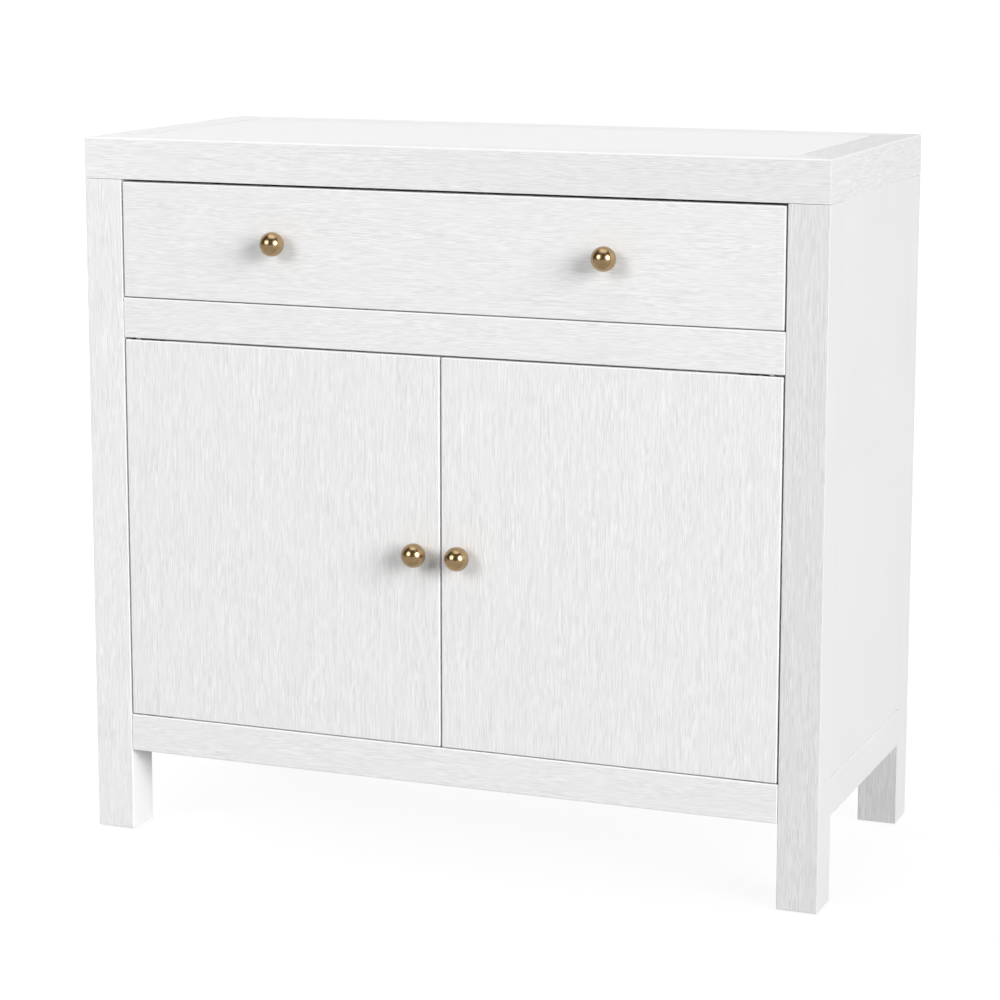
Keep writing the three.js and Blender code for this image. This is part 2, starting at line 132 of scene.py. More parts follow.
# Azimuth, elevation, distance, spread and card of each light. The last six serve chosen pieces only, as
# small reflectors would, and the first four skip some pieces, as flags would make them.
LIGHTS = {
    "key_right": (61, 18, 16, 32, 0.995),
    "key_left": (-27, 23, 12, 32, 0.415),
    "overhead": (20, 88, 5, 50, 0.38),
    "behind": (238, 12, 8, 32, 0.42),
    "slab_front": (-50, 23, 5, 32, 0.515),
    "right_leg": (-50, 23, 5.5, 32, 0.435),
    "left_leg": (88, 8, 5, 32, 0.46),
    "right_strip": (0, 70, 2.5, 50, 0.255),
    "panel": (20, 88, 4.5, 50, 0.545),
    "far_strips": (20, 88, 5.5, 50, 0.46),
}
FAR_STRIPS = ("top_left_strip", "top_back_strip")
LINKS = (
    ("key_right", "EXCLUDE", ("top_inset_panel", *FAR_STRIPS)),
    ("key_left", "EXCLUDE", ("top_inset_panel", "top_front_strip", "front_right_leg", *FAR_STRIPS)),
    ("behind", "EXCLUDE", ("top_inset_panel",)),
    ("overhead", "EXCLUDE", ("top_right_strip",)),
    ("slab_front", "INCLUDE", ("top_front_strip",)),
    ("right_leg", "INCLUDE", ("front_right_leg",)),
    ("left_leg", "INCLUDE", ("front_left_leg",)),
    ("right_strip", "INCLUDE", ("top_right_strip",)),
    ("panel", "INCLUDE", ("top_inset_panel",)),
    ("far_strips", "INCLUDE", FAR_STRIPS),
)


def link(light, state, pieces):
    """Makes a light skip some pieces (EXCLUDE) or light no others (INCLUDE)."""
    group = bpy.data.collections.new(f"{light.name}_{state.lower()}")
    for piece in pieces:
        group.objects.link(piece)
    light.light_linking.receiver_collection = group
    for row in group.collection_objects:
        row.light_linking.link_state = state


def make_lights():
    return {name: soft_box(name, *row) for name, row in LIGHTS.items()}


def link_lights(lights, pieces):
    for name, state, chosen in LINKS:
        link(lights[name], state, [pieces[piece] for piece in chosen])


def map_range(tree, source, from_low, from_high, to_low, to_high):
    node = tree.nodes.new("ShaderNodeMapRange")
    names = ("From Min", "From Max", "To Min", "To Max")
    for name, amount in zip(names, (from_low, from_high, to_low, to_high)):
        node.inputs[name].default_value = amount
    tree.links.new(source, node.inputs["Value"])
    return node.outputs["Result"]


def make_world():
    """A dim studio with a bright backdrop behind the cabinet and to its left, and plain white where
    the camera looks."""
    towards_backdrop = (-0.53, 0.85, 0)
    dim, bright = 0.07, 1.10
    world = bpy.data.worlds.new("studio")
    world.use_nodes = True
    tree = world.node_tree
    tree.nodes.clear()
    place = tree.nodes.new("ShaderNodeTexCoord")
    turned = tree.nodes.new("ShaderNodeVectorMath")
    turned.operation = "DOT_PRODUCT"
    turned.inputs[1].default_value = towards_backdrop
    room = tree.nodes.new("ShaderNodeBackground")
    white = tree.nodes.new("ShaderNodeBackground")
    white.inputs["Strength"].default_value = 1.0
    ray = tree.nodes.new("ShaderNodeLightPath")
    mix = tree.nodes.new("ShaderNodeMixShader")
    out = tree.nodes.new("ShaderNodeOutputWorld")
    for background in (room, white):
        background.inputs["Color"].default_value = (1, 1, 1, 1)
    tree.links.new(place.outputs["Generated"], turned.inputs[0])
    backdrop = map_range(tree, turned.outputs["Value"], 0.45, 0.95, dim, bright)
    tree.links.new(backdrop, room.inputs["Strength"])
    tree.links.new(ray.outputs["Is Camera Ray"], mix.inputs["Fac"])
    tree.links.new(room.outputs["Background"], mix.inputs[1])
    tree.links.new(white.outputs["Background"], mix.inputs[2])
    tree.links.new(mix.outputs["Shader"], out.inputs["Surface"])
    bpy.context.scene.world = world


def paper(tree, colour, glow):
    """Matt paper that also glows a little."""
    shader = tree.nodes.new("ShaderNodeBsdfPrincipled")
    shader.inputs["Base Color"].default_value = (colour, colour, colour, 1)
    shader.inputs["Roughness"].default_value = 0.9
    shader.inputs["Specular IOR Level"].default_value = 0.1
    shader.inputs["Emission Color"].default_value = (1, 1, 1, 1)
    shader.inputs["Emission Strength"].default_value = glow
    return shader


def floor_material():
    """Burnt out to white in the picture, bright in the knobs' reflections, and lighting the cabinet
    as grey paper does."""
    near_glow, far_glow = 0.91, 1.02
    material = bpy.data.materials.new("pale_floor")
    material.use_nodes = True
    tree = material.node_tree
    tree.nodes.clear()
    lit = paper(tree, 0.30, 0.05)
    mirrored = paper(tree, 0.30, 0.35)
    seen = paper(tree, 0.1, near_glow)
    distance = tree.nodes.new("ShaderNodeVectorMath")
    distance.operation = "LENGTH"
    place = tree.nodes.new("ShaderNodeTexCoord")
    tree.links.new(place.outputs["Object"], distance.inputs[0])
    glow = map_range(tree, distance.outputs["Value"], 0.7, 3.0, near_glow, far_glow)
    tree.links.new(glow, seen.inputs["Emission Strength"])
    ray = tree.nodes.new("ShaderNodeLightPath")
    shader = lit.outputs["BSDF"]
    for kind, look in (("Is Glossy Ray", mirrored), ("Is Camera Ray", seen)):
        mix = tree.nodes.new("ShaderNodeMixShader")
        tree.links.new(ray.outputs[kind], mix.inputs["Fac"])
        tree.links.new(shader, mix.inputs[1])
        tree.links.new(look.outputs["BSDF"], mix.inputs[2])
        shader = mix.outputs["Shader"]
    out = tree.nodes.new("ShaderNodeOutputMaterial")
    tree.links.new(shader, out.inputs["Surface"])
    return material


def make_floor():
    size = 60
    mesh = bpy.data.meshes.new("floor")
    corners = [(-size, -size, 0), (size, -size, 0), (size, size, 0), (-size, size, 0)]
    mesh.from_pydata(corners, [], [(0, 1, 2, 3)])
    mesh.materials.append(floor_material())
    floor = bpy.data.objects.new("floor", mesh)
    bpy.context.scene.collection.objects.link(floor)


# ---- Materials ----------------------------------------------------------------------

class Surface:
    """A Principled material with short calls for the nodes that feed it."""

    def __init__(self, name):
        self.material = bpy.data.materials.new(name)
        self.material.use_nodes = True
        self.tree = self.material.node_tree
        self.nodes = self.tree.nodes
        self.links = self.tree.links
        self.shader = self.nodes["Principled BSDF"]
        self.place = self.nodes.new("ShaderNodeTexCoord").outputs["Object"]

    def value(self, name, amount):
        self.shader.inputs[name].default_value = amount

    def feed(self, name, source):
        self.links.new(source, self.shader.inputs[name])

    def stretched(self, scale, source=None, start=(0, 0, 0)):
        """Object coordinates, or a given source, scaled per axis and moved."""
        node = self.nodes.new("ShaderNodeMapping")
        node.inputs["Scale"].default_value = scale
        node.inputs["Location"].default_value = start
        self.links.new(source or self.place, node.inputs["Vector"])
        return node.outputs["Vector"]

    def noise(self, source, detail=2.0, roughness=0.5):
        node = self.nodes.new("ShaderNodeTexNoise")
        node.inputs["Scale"].default_value = 1.0
        node.inputs["Detail"].default_value = detail
        node.inputs["Roughness"].default_value = roughness
        self.links.new(source, node.inputs["Vector"])
        return node.outputs["Fac"], node.outputs["Color"]

    def remap(self, source, low, high, to_low=0.0, to_high=1.0):
        return map_range(self.tree, source, low, high, to_low, to_high)

    def math(self, operation, a, b):
        node = self.nodes.new("ShaderNodeMath")
        node.operation = operation
        for socket, item in zip(node.inputs, (a, b)):
            if isinstance(item, (int, float)):
                socket.default_value = item
            else:
                self.links.new(item, socket)
        return node.outputs["Value"]

    def blend(self, factor, a, b):
        node = self.nodes.new("ShaderNodeMix")
        node.data_type = "RGBA"
        sockets = [s for s in node.inputs if s.type == "RGBA"]
        for socket, item in zip(sockets, (a, b)):
            if isinstance(item, tuple):
                socket.default_value = (*item, 1)
            else:
                self.links.new(item, socket)
        self.links.new(factor, node.inputs["Factor"])
        return [s for s in node.outputs if s.type == "RGBA"][0]

    def shifted(self, amounts, colour):
        """The object coordinates pushed about by a noise colour."""
        centred = self.nodes.new("ShaderNodeVectorMath")
        centred.operation = "SUBTRACT"
        centred.inputs[1].default_value = (0.5, 0.5, 0.5)
        self.links.new(colour, centred.inputs[0])
        push = self.nodes.new("ShaderNodeVectorMath")
        push.operation = "MULTIPLY"
        push.inputs[1].default_value = amounts
        self.links.new(centred.outputs["Vector"], push.inputs[0])
        total = self.nodes.new("ShaderNodeVectorMath")
        total.operation = "ADD"
        self.links.new(self.place, total.inputs[0])
        self.links.new(push.outputs["Vector"], total.inputs[1])
        return total.outputs["Vector"]

    def bump(self, height, strength, distance):
        node = self.nodes.new("ShaderNodeBump")
        node.inputs["Strength"].default_value = strength
        node.inputs["Distance"].default_value = distance
        self.links.new(height, node.inputs["Height"])
        self.links.new(node.outputs["Normal"], self.shader.inputs["Normal"])


def even(level):
    """The same amount three times, for a grey or for a scale."""
    return level, level, level


def along(axis, along_scale, across_scale):
    return tuple(along_scale if i == axis else across_scale for i in range(3))


def relief_with_painted_shade(s, waved, axis, along_scale, across_scale):
    """Fine lines along an axis, each lighter on one side and darker on the other: noise less its own
    copy, shifted by part of a line's width. In colour, the light and dark sides are a painted highlight
    and painted shade of a raised grain line; as height they drive the bump."""
    shift = 0.4
    scale = along(axis, along_scale, across_scale)
    ahead = s.noise(s.stretched(scale, waved), detail=0)[0]
    behind = s.noise(s.stretched(scale, waved, along(axis, 0, shift)), detail=0)[0]
    return s.math("SUBTRACT", ahead, behind)


def grain_paint(name, axis, long_share):
    """White paint over brushed wood: the grain still shows as fine crisp lines along one axis, each
    lighter on one side and darker on the other as a painted highlight and painted shade of its relief.
    long_share is how strong the long lines are beside the short ones."""
    dashes = 55 if axis == 1 else 80    # short lines per metre along the grain
    strands = 14                        # long lines per metre along the grain
    s = Surface(name)
    wander = s.noise(s.stretched(along(axis, 14, 20)), detail=1)[1]
    waved = s.shifted(along(axis, 0, 2.5 * MM), wander)
    short = relief_with_painted_shade(s, waved, axis, dashes, 1250)
    long = relief_with_painted_shade(s, waved, axis, strands, 1300)
    lines = s.math("ADD", short, s.math("MULTIPLY", long, long_share))
    patches = s.noise(s.stretched(along(axis, 14, 60)), detail=1)[0]
    strength = s.remap(patches, 0.35, 0.65, 0.65, 1.35)
    grain_and_painted_shade = s.math("MULTIPLY", lines, strength)
    # Painted light and shade: each grain line is lighter on one side and darker on the other, as raised
    # grain lit from one side looks.
    s.feed("Base Color", s.blend(s.remap(grain_and_painted_shade, -0.4, 0.4), even(0.745), even(0.935)))
    s.feed("Roughness", s.remap(grain_and_painted_shade, -0.3, 0.3, 0.60, 0.46))
    s.value("Specular IOR Level", 0.35)
    s.bump(grain_and_painted_shade, 0.4, 0.15 * MM)
    return s.material


def edge_highlight_paint():
    """The paint on the rounded edges, thick enough to hide the grain and lighter than the faces' paint:
    a painted highlight along every rounded edge.
    """
    s = Surface("edge_highlight_paint")
    run = s.noise(s.stretched(even(60)), detail=2)[0]
    # Painted highlight: the edges are a lighter white than the flat faces, so they read as lit lines.
    s.feed("Base Color", s.blend(s.remap(run, 0.3, 0.7), even(0.90), even(0.925)))
    s.feed("Roughness", s.remap(run, 0.3, 0.7, 0.36, 0.46))
    s.value("Specular IOR Level", 0.45)
    s.bump(run, 0.1, 0.05 * MM)
    return s.material


def smooth_paint():
    """The same white paint on a close-grained panel: even, with a faint sprayed texture."""
    s = Surface("smooth_paint")
    peel = s.noise(s.stretched(even(420)), detail=2)[0]
    cloud = s.noise(s.stretched(even(9)), detail=3)[0]
    s.feed("Base Color", s.blend(s.remap(cloud, 0.3, 0.7), even(0.84), even(0.858)))
    s.feed("Roughness", s.remap(cloud, 0.3, 0.7, 0.44, 0.52))
    s.value("Specular IOR Level", 0.35)
    s.bump(peel, 0.12, 0.08 * MM)
    return s.material


def aged_brass():
    s = Surface("aged_brass")
    patina = s.noise(s.stretched(even(90)), detail=4, roughness=0.6)[0]
    specks = s.noise(s.stretched(even(900)), detail=2)[0]
    brown = s.blend(s.remap(patina, 0.35, 0.68), (0.48, 0.335, 0.18), (0.39, 0.27, 0.145))
    s.feed("Base Color", s.blend(s.remap(specks, 0.62, 0.75, 0, 0.5), brown, (0.25, 0.17, 0.09)))
    s.feed("Roughness", s.remap(patina, 0.3, 0.7, 0.21, 0.28))
    s.value("Metallic", 1.0)
    s.bump(specks, 0.05, 0.05 * MM)
    return s.material


def birch(name, axis):
    s = Surface(name)
    wander = s.noise(s.stretched(along(axis, 3, 9)), detail=2)[1]
    waved = s.shifted(along(axis, 0, 14 * MM), wander)
    rings = s.noise(s.stretched(along(axis, 3, 120), waved), detail=3)[0]
    fibres = s.noise(s.stretched(along(axis, 40, 1300), waved), detail=2)[0]
    wood = s.blend(s.remap(rings, 0.3, 0.7), (0.66, 0.50, 0.32), (0.76, 0.62, 0.43))
    s.feed("Base Color", s.blend(s.remap(fibres, 0.55, 0.75, 0, 0.35), wood, (0.50, 0.35, 0.20)))
    s.feed("Roughness", s.remap(fibres, 0.3, 0.7, 0.38, 0.55))
    s.value("Specular IOR Level", 0.4)
    s.bump(fibres, 0.2, 0.1 * MM)
    return s.material


def zinc_steel():
    s = Surface("zinc_steel")
    brushed = s.noise(s.stretched((1200, 70, 1200)), detail=2)[0]
    spangle = s.noise(s.stretched(even(160)), detail=2)[0]
    s.feed("Base Color", s.blend(s.remap(spangle, 0.3, 0.7), (0.52, 0.53, 0.55), (0.66, 0.67, 0.69)))
    s.feed("Roughness", s.remap(brushed, 0.3, 0.7, 0.28, 0.42))
    s.value("Metallic", 1.0)
    s.bump(brushed, 0.08, 0.05 * MM)
    return s.material


def nylon():
    s = Surface("white_nylon")
    fine = s.noise(s.stretched(even(600)), detail=2)[0]
    s.feed("Base Color", s.blend(s.remap(fine, 0.3, 0.7), (0.74, 0.73, 0.70), (0.80, 0.79, 0.76)))
    s.feed("Roughness", s.remap(fine, 0.3, 0.7, 0.42, 0.55))
    s.bump(fine, 0.1, 0.05 * MM)
    return s.material


def magnet_dark():
    s = Surface("magnet_dark")
    fine = s.noise(s.stretched(even(500)), detail=3)[0]
    s.feed("Base Color", s.blend(s.remap(fine, 0.3, 0.7), (0.045, 0.045, 0.05), (0.085, 0.085, 0.09)))
    s.feed("Roughness", s.remap(fine, 0.3, 0.7, 0.4, 0.6))
    s.value("Metallic", 0.6)
    s.bump(fine, 0.1, 0.05 * MM)
    return s.material


# ---- Mesh helpers ---------------------------------------------------------------------

def object_from(bm, name):
    bmesh.ops.recalc_face_normals(bm, faces=bm.faces)
    mesh = bpy.data.meshes.new(name)
    bm.to_mesh(mesh)
    bm.free()
    made = bpy.data.objects.new(name, mesh)
    bpy.context.scene.collection.objects.link(made)
    return made


def soften(bm, radius, segments, flush=None):
    """Rounds the sharp edges of a bmesh. flush picks, from an edge's middle point, the edges that stay
    sharp because another board lies level with them."""
    def wanted(edge):
        middle = (edge.verts[0].co + edge.verts[1].co) / 2
        return edge.calc_face_angle(0) > SHARP_EDGE and not (flush and flush(middle))

    bmesh.ops.bevel(
        bm, geom=[e for e in bm.edges if wanted(e)], offset=radius, offset_type="OFFSET",
        segments=segments, profile=0.5, affect="EDGES", clamp_overlap=True,
    )


def board(name, low, high, radius=EDGE, segments=3, flush=None):
    """A board between two corners with rounded edges."""
    low, high = Vector(low), Vector(high)
    bm = bmesh.new()
    bmesh.ops.create_cube(bm, size=1)
    bmesh.ops.scale(bm, vec=high - low, verts=bm.verts)
    bmesh.ops.translate(bm, vec=(low + high) / 2, verts=bm.verts)
    if radius:
        soften(bm, radius, segments, flush)
    return object_from(bm, name)


def extruded(name, corners, path, radius=0.0):
    """A flat outline run along a path into a solid."""
    bm = bmesh.new()
    face = bm.faces.new([bm.verts.new(corner) for corner in corners])
    grown = bmesh.ops.extrude_face_region(bm, geom=[face])["geom"]
    moved = [g for g in grown if isinstance(g, bmesh.types.BMVert)]
    bmesh.ops.translate(bm, vec=path, verts=moved)
    if radius:
        soften(bm, radius, segments=2)
    return object_from(bm, name)


def flat_shape(name, points, z0, z1, radius=0.0):
    """A plan outline made into a solid between two heights."""
    return extruded(name, [(x, y, z0) for x, y in points], (0, 0, z1 - z0), radius)


def section_along_y(name, points, y0, y1, radius=0.0):
    """A section given as (x, z) run along the depth."""
    return extruded(name, [(x, y0, z) for x, z in points], (0, y1 - y0, 0), radius)


def facing(direction):
    """The turn that brings +Z to a direction."""
    return Vector(direction).to_track_quat("Z", "Y").to_matrix().to_4x4()


def dome(radius, height, rim, steps):
    """The profile of a domed head without its crown. rim is the share of the height that is upright."""
    angles = [math.pi / 2 * i / steps for i in range(steps)]
    return [(radius * math.cos(a), height * (rim + (1 - rim) * math.sin(a))) for a in angles]


def lathe(name, profile, sides, turn=None, place=(0, 0, 0)):
    """A closed profile of (radius, height) spun round Z, then turned and moved."""
    on_axis = 1e-7
    angles = [2 * math.pi * i / sides for i in range(sides)]
    bm = bmesh.new()
    rings = []
    for radius, height in profile:
        spots = [(radius * math.cos(a), radius * math.sin(a), height) for a in angles]
        if radius < on_axis:
            spots = [(0, 0, height)]
        rings.append([bm.verts.new(spot) for spot in spots])
    for lower, upper in zip(rings, rings[1:]):
        for i in range(sides):
            j = (i + 1) % sides
            low_pair = [lower[i % len(lower)], lower[j % len(lower)]]
            high_pair = [upper[j % len(upper)], upper[i % len(upper)]]
            unique = list(dict.fromkeys(low_pair + high_pair))
            if len(unique) > 2:
                bm.faces.new(unique)
    matrix = Matrix.Translation(place) @ (turn or Matrix.Identity(4))
    bmesh.ops.transform(bm, matrix=matrix, verts=bm.verts)
    return object_from(bm, name)


def baked_mesh(item):
    """The object's mesh with its modifiers applied."""
    graph = bpy.context.evaluated_depsgraph_get()
    mesh = bpy.data.meshes.new_from_object(
        item.evaluated_get(graph), preserve_all_data_layers=True, depsgraph=graph
    )
    old = item.data
    item.modifiers.clear()
    item.data = mesh
    bpy.data.meshes.remove(old)


def boolean(item, tool, operation):
    modifier = item.modifiers.new("boolean", "BOOLEAN")
    modifier.operation = operation
    modifier.solver = "EXACT"
    modifier.object = tool
    baked_mesh(item)
    bpy.data.objects.remove(tool)
    return item


def joined(items):
    """One object from several that don't touch."""
    first, *others = items
    bm = bmesh.new()
    for item in items:
        bm.from_mesh(item.data)
    bm.to_mesh(first.data)
    bm.free()
    for other in others:
        bpy.data.objects.remove(other)
    return first


def cut(item, tools):
    return boolean(item, joined(tools), "DIFFERENCE")


def polished(item):
    """Smooth shading whose flat faces stay flat."""
    mesh = item.data
    mesh.shade_smooth()
    mesh.set_sharp_from_angle(angle=SMOOTH_ANGLE)
    modifier = item.modifiers.new("normals", "WEIGHTED_NORMAL")
    modifier.weight = 100
    modifier.keep_sharp = True
    baked_mesh(item)
    return item


def dress(item, material):
    """Gives a piece its material. A pair is the paint for its flat faces and the one for its edges,
    whose lighter white is a painted highlight.
    """
    paints = material if isinstance(material, tuple) else (material,)
    item.data.materials.clear()
    for paint in paints:
        item.data.materials.append(paint)
    for polygon in item.data.polygons:
        flat = max(abs(c) for c in polygon.normal) > 0.9999
        polygon.material_index = 0 if flat or len(paints) == 1 else 1


def repaint(item, index, wanted):
    """Gives one of a piece's materials to the faces whose normal is wanted."""
    for polygon in item.data.polygons:
        if wanted(polygon.normal):
            polygon.material_index = index


def stands_for(item, material, *nodes):
    """The finished piece takes the place of CAD nodes, and moves with their body."""
    polished(item)
    dress(item, material)
    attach(item, BODY_OF[nodes[0]])
    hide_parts(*nodes)
    return item


def goes_with(item, material, node):
    """A detail that has no CAD node of its own and moves with the node's body."""
    polished(item)
    dress(item, material)
    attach(item, BODY_OF[node])


def pin_tool(centre, radius, direction, length):
    """A plain rod for drilling, starting at a point and running along a direction."""
    profile = [(0, 0), (radius, 0), (radius, length), (0, length)]
    return lathe("drill", profile, DRILL_SIDES, facing(direction), centre)


def middle_of(node):
    low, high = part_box(node)
    return (low + high) / 2


# ---- Screw heads ------------------------------------------------------------------------

def cross_recess(centre, direction, radius):
    """A cross-shaped cutting tool for a screw head, pointing out along the direction."""
    arm = radius * 0.95
    wide = radius * 0.13
    deep = radius * 0.55
    askew = 0.4
    points = []
    for quarter in range(4):
        c, s = math.cos(quarter * math.pi / 2), math.sin(quarter * math.pi / 2)
        for x, y in ((arm, -wide), (arm, wide), (wide, wide)):
            points.append((x * c - y * s, x * s + y * c))
    tool = flat_shape("recess", points, -deep, radius)
    tool.data.transform(Matrix.Translation(centre) @ facing(direction) @ Matrix.Rotation(askew, 4, "Z"))
    return tool


def screw_head(name, centre, direction, radius, height):
    """A low domed head with a cross recess, standing on a surface."""
    profile = [(0, 0), (radius, 0), *dome(radius, height, 0.35, 6), (0, height)]
    head = lathe(name, profile, 28, facing(direction), centre)
    top = Vector(centre) + Vector(direction) * height
    return cut(head, [cross_recess(top, direction, radius * 0.6)])


# ---- Top ---------------------------------------------------------------------------------

def flared_block(low, high, flare):
    """A block whose top opens outwards over the last stretch, to chamfer an opening."""
    bm = bmesh.new()
    levels = [(low.z, 0), (high.z - flare, 0), (high.z + flare, 2 * flare)]
    rings = []
    for z, grow in levels:
        corners = [
            (low.x - grow, low.y - grow), (high.x + grow, low.y - grow),
            (high.x + grow, high.y + grow), (low.x - grow, high.y + grow),
        ]
        rings.append([bm.verts.new((x, y, z)) for x, y in corners])
    bm.faces.new(rings[0][::-1])
    bm.faces.new(rings[-1])
    for lower, upper in zip(rings, rings[1:]):
        for i in range(4):
            j = (i + 1) % 4
            bm.faces.new((lower[i], lower[j], upper[j], upper[i]))
    return object_from(bm, "opening")


def make_top(grain_x, grain_y, smooth):
    """Four mitred strips round a panel. The joints beside the panel are wider than those before and
    behind it. Returns the five pieces by name."""
    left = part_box("top_border_left")
    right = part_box("top_border_right")
    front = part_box("top_border_front")
    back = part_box("top_border_back")
    low = Vector((left[0].x, front[0].y, front[0].z))
    high = Vector((right[1].x, back[1].y, front[1].z))
    panel_low, panel_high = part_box("top_panel")
    gap = Vector((TOUCH, TOUCH, TOUCH))
    ledge = front[1].y - front[0].y
    mitre_gap = 0.08 * MM
    pieces = {}
    for place, axis, sign in (("front", 1, -1), ("back", 1, 1), ("left", 0, -1), ("right", 0, 1)):
        name = f"top_{place}_strip"
        strip = board(name, low, high, EDGE, 4, flush=lambda point: near(point.z, low.z))
        opening_high = Vector((panel_high.x, panel_high.y, high.z)) + gap
        flare = 0.3 * MM if axis == 1 else 1.8 * MM
        boolean(strip, flared_block(panel_low - gap, opening_high, flare), "DIFFERENCE")
        through_low = Vector((low.x + ledge, low.y + ledge, low.z - MM))
        through_high = Vector((high.x - ledge, high.y - ledge, high.z + MM))
        boolean(strip, board("through", through_low, through_high, 0), "DIFFERENCE")
        boolean(strip, mitre_wedge(low, high, axis, sign, mitre_gap), "INTERSECT")
        stands_for(strip, grain_x if axis == 1 else grain_y, f"top_border_{place}")
        # The upright corners keep the face's paint, not the edge paint with its painted highlight, so
        # that they don't show as a lit line.
        repaint(strip, 0, lambda normal: abs(normal.z) < 0.1)
        pieces[name] = strip
    panel = board("top_inset_panel", panel_low, panel_high, 1.2 * MM)
    pieces["top_inset_panel"] = stands_for(panel, smooth, "top_panel")
    return pieces


def mitre_wedge(low, high, axis, sign, gap):
    """The plan region of one border strip, bounded by the two 45 degree mitre lines."""
    inward = 70 * MM
    margin = 5 * MM
    corners = {
        (1, -1): [(low.x, low.y), (high.x, low.y)],
        (1, 1): [(high.x, high.y), (low.x, high.y)],
        (0, -1): [(low.x, high.y), (low.x, low.y)],
        (0, 1): [(high.x, low.y), (high.x, high.y)],
    }[(axis, sign)]
    centre = (low + high) / 2
    points = []
    for reach, ends in ((-margin, corners), (inward, corners[::-1])):
        for x, y in ends:
            towards_x = math.copysign(1, centre.x - x)
            towards_y = math.copysign(1, centre.y - y)
            points.append([x + towards_x * reach, y + towards_y * reach])
    for point in points:
        point[axis] += sign * gap
    return flat_shape("wedge", points, low.z - margin, high.z + margin)


# ---- Legs, panels and rails ----------------------------------------------------------------

def make_glide(side, place, material):
    low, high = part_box(f"glide_{place}_{side}")
    middle = (low + high) / 2
    radius = (high.x - low.x) / 2
    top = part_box(f"leg_{place}_{side}")[0].z - TOUCH
    stem = 2.5 * MM
    profile = [
        (0, 0), (radius * 0.78, 0), (radius * 0.93, top * 0.2), (radius, top * 0.55),
        (radius, top), (stem, top), (stem, high.z - 2 * MM), (0.8 * MM, high.z), (0, high.z),
    ]
    glide = lathe(f"{place}_{side}_glide", profile, 40, None, (middle.x, middle.y, 0))
    stands_for(glide, material, f"glide_{place}_{side}")


def near(a, b):
    return abs(a - b) < TOUCH


def make_leg(side, place, grain, smooth):
    """A leg whose grain shows on its front and back, and hardly on its two sides."""
    node = f"leg_{place}_{side}"
    low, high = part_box(node)
    outer = low.x if side == "left" else high.x
    inner = high.y if place == "front" else low.y
    middle = middle_of(f"glide_{place}_{side}")
    stem_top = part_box(f"glide_{place}_{side}")[1].z
    leg = board(
        f"{place}_{side}_leg", low, high, LEG_EDGE, 4,
        flush=lambda point: near(point.x, outer) and near(point.y, inner),
    )
    drill = pin_tool((middle.x, middle.y, low.z - MM), PIN_HOLE, (0, 0, 1), stem_top)
    stands_for(cut(leg, [drill]), grain, node)
    leg.data.materials.append(smooth)
    repaint(leg, 1, lambda normal: abs(normal.x) > 0.7)
    return leg


def shelf_pin_drills(side, sign, inner_x):
    """The rows of holes that the shelf pins can stand in."""
    step = 32 * MM
    drills = []
    for place in ("front", "back"):
        pin = middle_of(f"shelf_pin_{place}_{side}")
        for k in range(-2, 3):
            start = (inner_x - sign * MM, pin.y, pin.z + k * step)
            drills.append(pin_tool(start, 2.8 * MM, (sign, 0, 0), 10 * MM))
    return drills


def make_side(side, sign, smooth):
    """The side panel and the rail below it. Their outer edges stay sharp where they meet the legs and
    the top."""
    node = f"side_panel_{side}"
    low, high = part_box(node)
    outer, inner = (low.x, high.x) if sign < 0 else (high.x, low.x)
    low.z += TOUCH
    high.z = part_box("top_border_front")[0].z - TOUCH / 6

    def upright_or_top(point):
        return near(point.x, outer) and point.z > low.z + MM

    panel = board(f"{side}_side_panel", low, high, 0.8 * MM, flush=upright_or_top)
    stands_for(cut(panel, shelf_pin_drills(side, sign, inner)), smooth, node)
    rail = f"side_rail_{side}"
    rail_low, rail_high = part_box(rail)

    def end(point):
        return near(point.x, outer) and near(point.z, (rail_low.z + rail_high.z) / 2)

    stands_for(board(f"{side}_side_rail", rail_low, rail_high, 1.0 * MM, flush=end), smooth, rail)


def leaf_tools(side_nodes, towards):
    """Blocks that cut the shallow pockets of hinge leaves, open towards the gap."""
    room = Vector((TOUCH, TOUCH, TOUCH))
    tools = []
    for node in side_nodes:
        low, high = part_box(node)
        low, high = low - room, high + room
        if towards > 0:
            high.z += 3 * MM
        else:
            low.z -= 3 * MM
        tools.append(board("pocket", low, high, 0))
    return tools


def make_front_rails(grain_x):
    upper = leaf_tools([f"hinge_rail_leaf_top_{side}" for side in SIDES], -1)
    lower = leaf_tools([f"hinge_rail_leaf_bottom_{side}" for side in SIDES], 1)
    middle = board("rail_over_doors", *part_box("middle_rail"))
    stands_for(cut(middle, upper), grain_x, "middle_rail")
    bottom = board("rail_under_doors", *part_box("bottom_rail"))
    stands_for(cut(bottom, lower), grain_x, "bottom_rail")


def notched(name, node, room):
    """A board cut away round the four legs."""
    low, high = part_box(node)
    leg_low, leg_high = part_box("leg_front_right")
    back_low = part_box("leg_back_right")[0]
    inner = leg_low.x - room
    front = max(low.y, leg_high.y + room)
    back = back_low.y - room
    right = [
        (inner, low.y), (inner, front), (high.x, front),
        (high.x, back), (inner, back), (inner, high.y),
    ]
    left = [(-x, y) for x, y in reversed(right)]
    return flat_shape(name, right + left, low.z, high.z, FINE_EDGE)


def make_inside(smooth, grain_x, steel):
    stands_for(notched("floor_of_cupboard", "cupboard_floor", TOUCH), smooth, "cupboard_floor")
    stands_for(notched("deck_under_drawer", "drawer_deck", TOUCH), smooth, "drawer_deck")
    stands_for(notched("adjustable_shelf", "shelf", 2 * MM), smooth, "shelf")
    stands_for(board("rail_at_back", *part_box("back_rail"), 1.0 * MM), grain_x, "back_rail")
    stands_for(board("panel_at_back", *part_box("back_panel"), 0.5 * MM), smooth, "back_panel")
    make_back_nails(steel)


